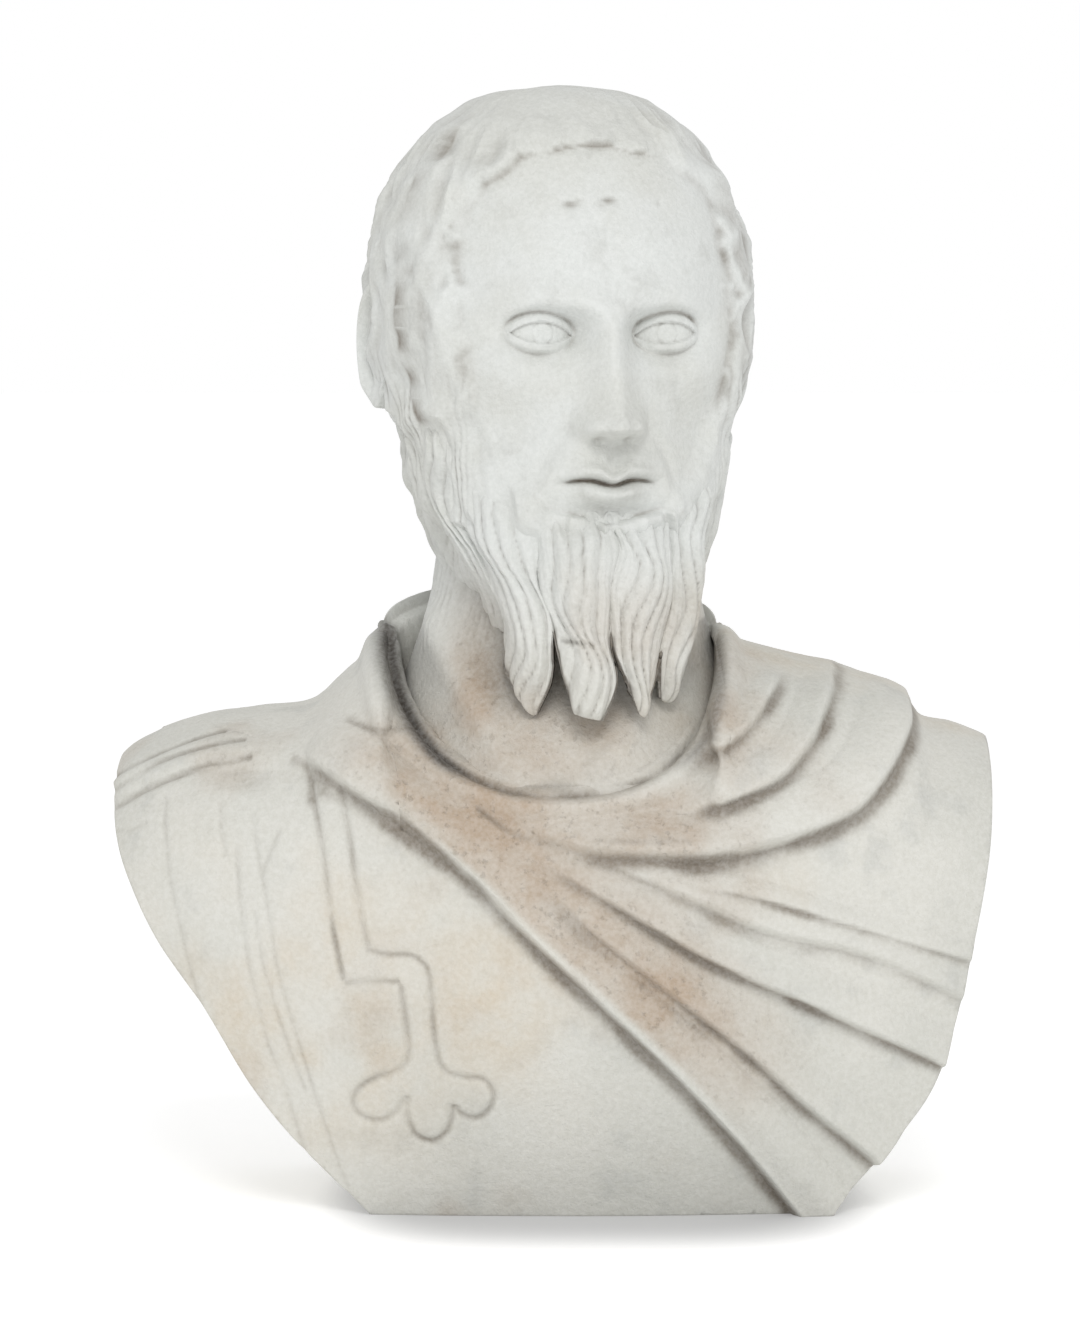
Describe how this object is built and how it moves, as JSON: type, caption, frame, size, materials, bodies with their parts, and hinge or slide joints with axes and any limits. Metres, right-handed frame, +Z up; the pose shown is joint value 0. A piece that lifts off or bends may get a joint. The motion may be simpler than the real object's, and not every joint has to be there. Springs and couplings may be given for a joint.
{
  "type": "marble philosopher bust",
  "caption": "Life-size marble bust of a bearded thinker in tunic and mantle, cut flat below to stand on a shelf, pillar or plinth.",
  "frame": {"origin": "middle of the flat underside", "axes": "-Y is the way the chest faces, +X is the viewer's right in front, +Z is up"},
  "size_m": [0.4345, 0.2153, 0.5499],
  "materials": {
    "marble": "honed white marble, weathered and stained"
  },
  "bodies": {
    "root": {"marble_bust": "marble"}
  },
  "joints": []
}
